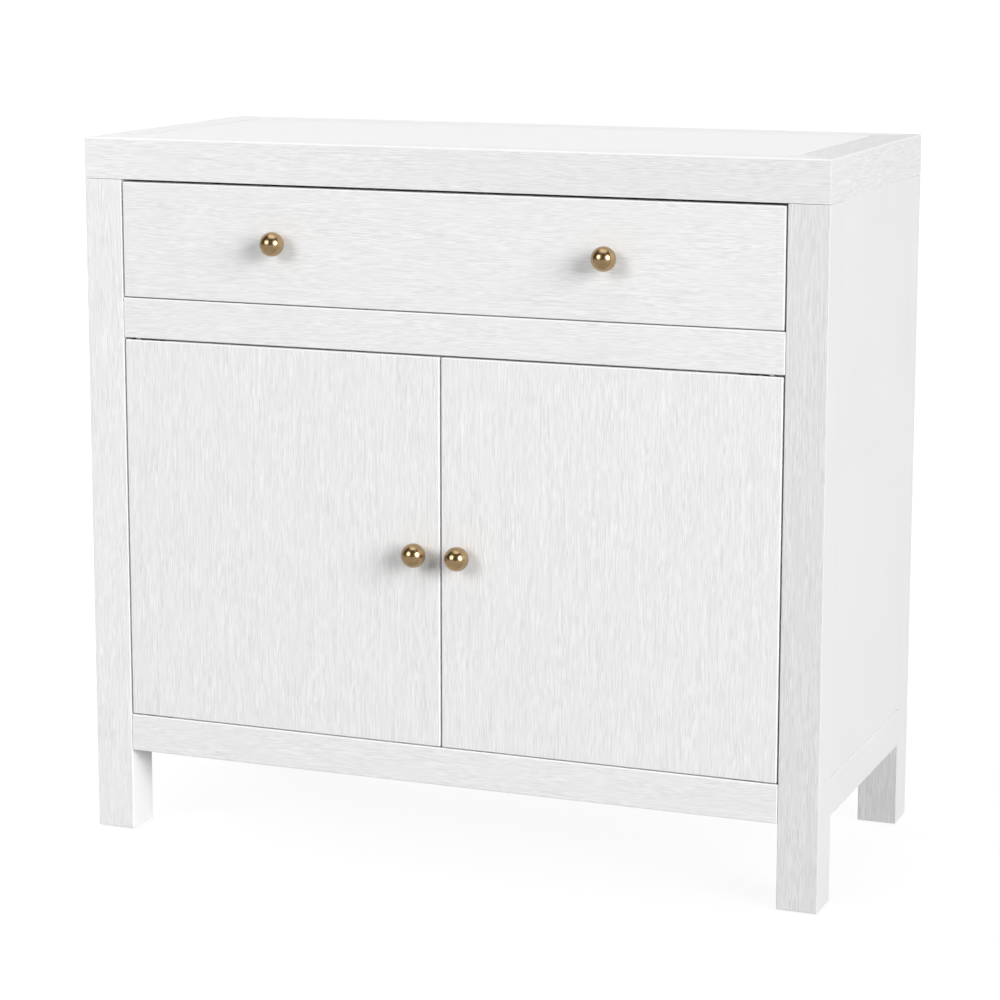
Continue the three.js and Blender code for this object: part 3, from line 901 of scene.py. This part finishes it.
def make_back_nails(steel):
    """Small domed nails that hold the back panel, along its four sides."""
    low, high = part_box("back_panel")
    inset = 9 * MM
    across = 7
    upright = 5
    spots = []
    for i in range(across):
        x = low.x + inset + (high.x - low.x - 2 * inset) * i / (across - 1)
        spots += [(x, low.z + inset), (x, high.z - inset)]
    for i in range(1, upright):
        z = low.z + inset + (high.z - low.z - 2 * inset) * i / upright
        spots += [(low.x + inset, z), (high.x - inset, z)]
    radius, rise = 2.4 * MM, 0.9 * MM
    profile = [(0, -MM), (radius, -MM), *dome(radius, rise, 0, 5), (0, rise)]
    turn = facing((0, 1, 0))
    nails = [lathe("back_panel_nails", profile, 20, turn, (x, high.y, z)) for x, z in spots]
    goes_with(joined(nails), steel, "shelf_pin_back_left")


def make_shelf_pin(side, sign, place, steel):
    node = f"shelf_pin_{place}_{side}"
    low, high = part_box(node)
    panel_low, panel_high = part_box(f"side_panel_{side}")
    face = panel_high.x if sign < 0 else panel_low.x
    middle = (low + high) / 2
    radius = (high.z - low.z) / 2
    into = abs((low.x if sign < 0 else high.x) - face)
    out = abs((high.x if sign < 0 else low.x) - face)
    collar = 1.1 * MM
    profile = [
        (0, -into), (radius - 0.5 * MM, -into), (radius, -into + 0.5 * MM), (radius, TOUCH),
        (radius + 1 * MM, TOUCH), (radius + 1 * MM, collar), (radius, collar),
        (radius, out - 0.8 * MM), (radius - 0.8 * MM, out), (0, out),
    ]
    spot = (face, middle.y, middle.z)
    pin = lathe(f"{place}_{side}_shelf_pin", profile, 32, facing((-sign, 0, 0)), spot)
    stands_for(pin, steel, node)


# ---- Hinges ----------------------------------------------------------------------------------

def stadium(low, high, steps=10):
    """The plan of a bar with round ends that fills a box."""
    radius = (high.y - low.y) / 2
    y = (low.y + high.y) / 2
    points = []
    for centre, start in ((high.x - radius, -math.pi / 2), (low.x + radius, math.pi / 2)):
        for i in range(steps + 1):
            angle = start + math.pi * i / steps
            points.append((centre + radius * math.cos(angle), y + radius * math.sin(angle)))
    return points


def pivot_of(side):
    joint = next(j for j in frame["joints"] if j["name"] == f"{side}_door_hinge")
    return Vector(joint["pos_m"])


def leaf_screws(node, side, sign, face_z, out):
    """Two small screws in a leaf, clear of its pin."""
    low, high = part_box(node)
    pivot = pivot_of(side)
    y = (low.y + high.y) / 2
    spots = [pivot.x - sign * 12 * MM, pivot.x - sign * 26 * MM]
    return [
        screw_head("leaf_screw", (x, y, face_z), (0, 0, out), 2.0 * MM, 0.7 * MM) for x in spots
    ]


def make_rail_leaf(side, sign, end, steel):
    """The hinge leaf let into a rail, with the hole for the pin."""
    out = 1 if end == "top" else -1
    pivot = pivot_of(side)
    node = f"hinge_rail_leaf_{end}_{side}"
    low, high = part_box(node)
    leaf = flat_shape(f"{side}_{end}_rail_leaf", stadium(low, high), low.z, high.z, LEAF_EDGE)
    cut(leaf, [pin_tool((pivot.x, pivot.y, low.z - MM), PIN_HOLE, (0, 0, 1), 5 * MM)])
    face = low.z if out > 0 else high.z
    joined([leaf, *leaf_screws(node, side, sign, face, -out)])
    stands_for(leaf, steel, node)


def make_door_leaf(side, sign, end, steel):
    """The hinge leaf let into a door's edge, with a washer and the pin."""
    out = 1 if end == "top" else -1
    pivot = pivot_of(side)
    node = f"hinge_door_leaf_{end}_{side}"
    low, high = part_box(node)
    door_low, door_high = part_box(f"door_{side}")
    face = door_high.z if out > 0 else door_low.z
    thick = 2.5 * MM
    span = (face - thick, face) if out > 0 else (face, face + thick)
    reach = abs((high.z if out > 0 else low.z) - face)
    plate = flat_shape(f"{side}_{end}_door_leaf", stadium(low, high), *span, LEAF_EDGE)
    rail_low, rail_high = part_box("middle_rail" if out > 0 else "bottom_rail")
    washer = abs((rail_low.z if out > 0 else rail_high.z) - face) - TOUCH
    profile = [
        (0, TOUCH / 10), (3.0 * MM, TOUCH / 10), (3.2 * MM, 0.3 * MM), (3.2 * MM, washer - 0.2 * MM),
        (3.0 * MM, washer), (2.5 * MM, washer), (2.5 * MM, reach - 0.6 * MM),
        (1.9 * MM, reach), (0, reach),
    ]
    pin = lathe("pin", profile, 32, facing((0, 0, out)), (pivot.x, pivot.y, face))
    joined([plate, pin, *leaf_screws(node, side, sign, face, out)])
    stands_for(plate, steel, node)


# ---- Knobs ------------------------------------------------------------------------------------

def make_knob(node, name, brass):
    """A ball on a waisted neck with a small stepped foot, bored for its screw."""
    low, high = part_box(node)
    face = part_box("drawer_front")[0].y
    reach = face - low.y
    ball = (high.z - low.z) / 2
    centre = reach - ball
    neck = 5 * MM
    start = math.asin(neck / ball)
    steps = 28
    arc = []
    for i in range(steps):
        angle = start + (math.pi - start) * i / steps
        arc.append((ball * math.sin(angle), centre - ball * math.cos(angle)))
    foot = [
        (0, 10 * MM), (2.3 * MM, 10 * MM), (2.3 * MM, TOUCH), (7.0 * MM, TOUCH), (7.4 * MM, 0.6 * MM),
        (7.4 * MM, 1.2 * MM), (7.0 * MM, 1.6 * MM), (5.6 * MM, 1.9 * MM), (5.1 * MM, 2.5 * MM),
    ]
    middle = middle_of(node)
    spot = (middle.x, face, middle.z)
    knob = lathe(name, [*foot, *arc, (0, reach)], 72, facing((0, -1, 0)), spot)
    stands_for(knob, brass, node)


def make_knob_screw(node, name, steel):
    low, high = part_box(node)
    middle = middle_of(node)
    shank, point = 2 * MM, 1.4 * MM
    head_height = 2.2 * MM
    radius = (high.x - low.x) / 2
    length = high.y - low.y - head_height
    profile = [
        (0, -length), (point, -length), (shank, MM - length), (shank, 0), (radius, 0),
        *dome(radius, head_height, 0.4, 6), (0, head_height),
    ]
    outwards = Vector((0, 1, 0))
    place = Vector((middle.x, high.y - head_height, middle.z))
    screw = lathe(name, profile, 32, facing(outwards), place)
    recess = cross_recess(place + outwards * head_height, outwards, radius * 0.6)
    stands_for(cut(screw, [recess]), steel, node)


# ---- Drawer ------------------------------------------------------------------------------------

def knob_drills(y0, y1):
    drills = []
    for side in SIDES:
        middle = middle_of(f"drawer_knob_{side}")
        drills.append(pin_tool((middle.x, y0, middle.z), KNOB_HOLE, (0, 1, 0), y1 - y0))
    return drills


def make_drawer(grain_x, wood_x, wood_y, steel, brass):
    low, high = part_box("drawer_front")
    face = board("front_of_drawer", low, high)
    stands_for(cut(face, knob_drills(low.y - MM, high.y + MM)), grain_x, "drawer_front")
    inner_low, inner_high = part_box("drawer_inner_front")
    inner = board("drawer_box_front", inner_low, inner_high, FINE_EDGE)
    drills = knob_drills(inner_low.y - MM, inner_high.y + MM)
    stands_for(cut(inner, drills), wood_x, "drawer_inner_front")
    stands_for(board("drawer_box_back", *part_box("drawer_back"), FINE_EDGE), wood_x, "drawer_back")
    stands_for(board("drawer_box_bottom", *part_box("drawer_bottom"), 0.3 * MM), wood_x, "drawer_bottom")
    for side, sign in zip(SIDES, (-1, 1)):
        make_drawer_side(side, sign, wood_y)
        make_slide_rail(side, sign, steel)
        make_slide_runner(side, sign, steel)
        make_slide_balls(side, steel)
        make_knob(f"drawer_knob_{side}", f"{side}_drawer_knob", brass)
        make_knob_screw(f"drawer_knob_screw_{side}", f"{side}_drawer_knob_screw", steel)


def make_drawer_side(side, sign, wood_y):
    node = f"drawer_side_{side}"
    low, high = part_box(node)
    bottom_low, bottom_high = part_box("drawer_bottom")
    outer, inner = (low.x, high.x) if sign < 0 else (high.x, low.x)
    groove = (bottom_low.x if sign < 0 else bottom_high.x) + sign * TOUCH
    g0, g1 = bottom_low.z - TOUCH, bottom_high.z + TOUCH
    points = [
        (outer, low.z), (outer, high.z), (inner, high.z), (inner, g1),
        (groove, g1), (groove, g0), (inner, g0), (inner, low.z),
    ]
    item = section_along_y(f"drawer_box_{side}", points, low.y, high.y, FINE_EDGE)
    stands_for(item, wood_y, node)


def channel_points(web, lips, low_z, high_z, steel_thickness):
    """A channel section with rounded bends, as (x, z)."""
    towards = math.copysign(1, lips - web)
    bend = 2.2 * MM
    steps = 5
    outer, inner = [], []
    for corner_z, up in ((low_z, 1), (high_z, -1)):
        centre = (web + towards * bend, corner_z + up * bend)
        sweep = range(steps + 1) if up > 0 else range(steps, -1, -1)
        for i in sweep:
            angle = math.pi / 2 * i / steps
            c, s = math.cos(angle), math.sin(angle)
            for ring, radius in ((outer, bend), (inner, bend - steel_thickness)):
                ring.append((centre[0] - towards * radius * s, centre[1] - up * radius * c))
    outer = [(lips, low_z), *outer, (lips, high_z)]
    inner = [(lips, low_z + steel_thickness), *inner, (lips, high_z - steel_thickness)]
    return outer + inner[::-1]


def make_slide_rail(side, sign, steel):
    """The fixed member of a slide with its two screws."""
    node = f"slide_rail_{side}"
    low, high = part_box(node)
    web, lips = (low.x, high.x) if sign < 0 else (high.x, low.x)
    points = channel_points(web, lips, low.z, high.z, SLIDE_STEEL)
    rail = section_along_y(f"{side}_slide_rail", points, low.y, high.y)
    x, z = web - sign * SLIDE_STEEL, (low.z + high.z) / 2
    screws = [
        screw_head("slide_screw", (x, y, z), (-sign, 0, 0), 3.2 * MM, 1.2 * MM)
        for y in (low.y + 14 * MM, high.y - 16 * MM)
    ]
    stands_for(joined([rail, *screws]), steel, node)


def make_slide_runner(side, sign, steel):
    node = f"slide_runner_{side}"
    low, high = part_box(node)
    web, lips = (high.x, low.x) if sign < 0 else (low.x, high.x)
    points = channel_points(web, lips, low.z, high.z, SLIDE_STEEL)
    runner = section_along_y(f"{side}_slide_runner", points, low.y, high.y)
    stands_for(runner, steel, node)


def make_slide_balls(side, steel):
    """The two rows of balls between a slide's rail and runner."""
    rail_low, rail_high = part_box(f"slide_rail_{side}")
    run_low, run_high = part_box(f"slide_runner_{side}")
    x = (run_low.x + run_high.x) / 2
    rows = (
        (rail_low.z + SLIDE_STEEL + run_low.z) / 2,
        (rail_high.z - SLIDE_STEEL + run_high.z) / 2,
    )
    balls = []
    ball = 1.15 * MM
    count = 16
    for i in range(count):
        y = rail_low.y + 20 * MM + i * 10 * MM
        for z in rows:
            bm = bmesh.new()
            bmesh.ops.create_icosphere(bm, subdivisions=2, radius=ball)
            bmesh.ops.translate(bm, vec=(x, y, z), verts=bm.verts)
            balls.append(object_from(bm, f"{side}_slide_balls"))
    goes_with(joined(balls), steel, f"slide_rail_{side}")


# ---- Doors -------------------------------------------------------------------------------------

def make_door(side, sign, grain_z, brass, steel):
    node = f"door_{side}"
    low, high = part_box(node)
    knob = middle_of(f"door_knob_{side}")
    panel = board(f"{side}_door", low, high)
    tools = [
        *leaf_tools([f"hinge_door_leaf_top_{side}"], 1),
        *leaf_tools([f"hinge_door_leaf_bottom_{side}"], -1),
        pin_tool((knob.x, low.y - MM, knob.z), KNOB_HOLE, (0, 1, 0), high.y - low.y + 2 * MM),
    ]
    trim_pocket(tools[0], high.z, 1)
    trim_pocket(tools[1], low.z, -1)
    stands_for(cut(panel, tools), grain_z, node)
    make_knob(f"door_knob_{side}", f"{side}_door_knob", brass)
    make_knob_screw(f"door_knob_screw_{side}", f"{side}_door_knob_screw", steel)
    for end in ENDS:
        make_rail_leaf(side, sign, end, steel)
        make_door_leaf(side, sign, end, steel)
    plate_node = f"strike_plate_{side}"
    plate_low, plate_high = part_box(plate_node)
    plate = board(f"{side}_strike_plate", plate_low, plate_high, 0.6 * MM)
    centre = (plate_low + plate_high) / 2
    spot = (centre.x, plate_high.y, centre.z)
    head = screw_head("strike_screw", spot, (0, 1, 0), 2.6 * MM, 0.6 * MM)
    stands_for(joined([plate, head]), steel, plate_node)


def trim_pocket(tool, edge_z, out):
    """A door leaf's pocket is only as deep as the plate, not as long as its pin."""
    deep = 2.8 * MM
    for vertex in tool.data.vertices:
        outside = (vertex.co.z - edge_z) * out > 0
        vertex.co.z = edge_z + out * 3 * MM if outside else edge_z - out * deep


def make_catch(white, dark, steel):
    """A nylon housing with a magnet for each door's strike plate, and its two screws."""
    low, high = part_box("door_catch")
    housing = board("magnetic_catch", low, high, 1.2 * MM)
    room = 0.2 * MM
    half = Vector((8 * MM, 0, 3.5 * MM))
    pockets, magnets = [], []
    for side in SIDES:
        centre = middle_of(f"strike_plate_{side}")
        start = Vector((centre.x, low.y, centre.z))
        pocket_low, pocket_high = start - half, start + half
        pocket_low.y, pocket_high.y = low.y - MM, low.y + 3 * MM
        pockets.append(board("pocket", pocket_low, pocket_high, 0))
        fill_low = Vector((pocket_low.x + room, low.y + 0.3 * MM, pocket_low.z + room))
        fill_high = Vector((pocket_high.x - room, pocket_high.y - room, pocket_high.z - room))
        magnets.append(board("catch_magnets", fill_low, fill_high, 0.3 * MM))
    stands_for(cut(housing, pockets), white, "door_catch")
    goes_with(joined(magnets), dark, "slide_rail_left")
    heads = [
        screw_head("catch_screws", (x, high.y, high.z - 9 * MM), (0, 1, 0), 3.0 * MM, 1.2 * MM)
        for x in (low.x + 9 * MM, high.x - 9 * MM)
    ]
    goes_with(joined(heads), steel, "slide_rail_left")


# ---- The whole cabinet ----------------------------------------------------------------------------

def make_cabinet():
    """Makes every piece and returns, by name, the ones that the lights treat on their own."""
    edges = edge_highlight_paint()
    grain_x = (grain_paint("grain_paint_x", 0, 0.35), edges)
    grain_y = (grain_paint("grain_paint_y", 1, 0.35), edges)
    grain_z = (grain_paint("grain_paint_z", 2, 0.7), edges)
    smooth = (smooth_paint(), edges)
    brass, steel, white, dark = aged_brass(), zinc_steel(), nylon(), magnet_dark()
    wood_x, wood_y = birch("birch_x", 0), birch("birch_y", 1)
    pieces = make_top(grain_x, grain_y, smooth)
    for side, sign in zip(SIDES, (-1, 1)):
        for place in ("front", "back"):
            pieces[f"{place}_{side}_leg"] = make_leg(side, place, grain_z[0], smooth[0])
            make_glide(side, place, white)
            make_shelf_pin(side, sign, place, steel)
        make_side(side, sign, smooth)
        make_door(side, sign, grain_z, brass, steel)
    make_front_rails(grain_x)
    make_inside(smooth, grain_x, steel)
    make_drawer(grain_x, wood_x, wood_y, steel, brass)
    make_catch(white, dark, steel)
    return pieces


bpy.context.scene.view_settings.view_transform = "Standard"
make_camera()
make_world()
make_floor()
link_lights(make_lights(), make_cabinet())
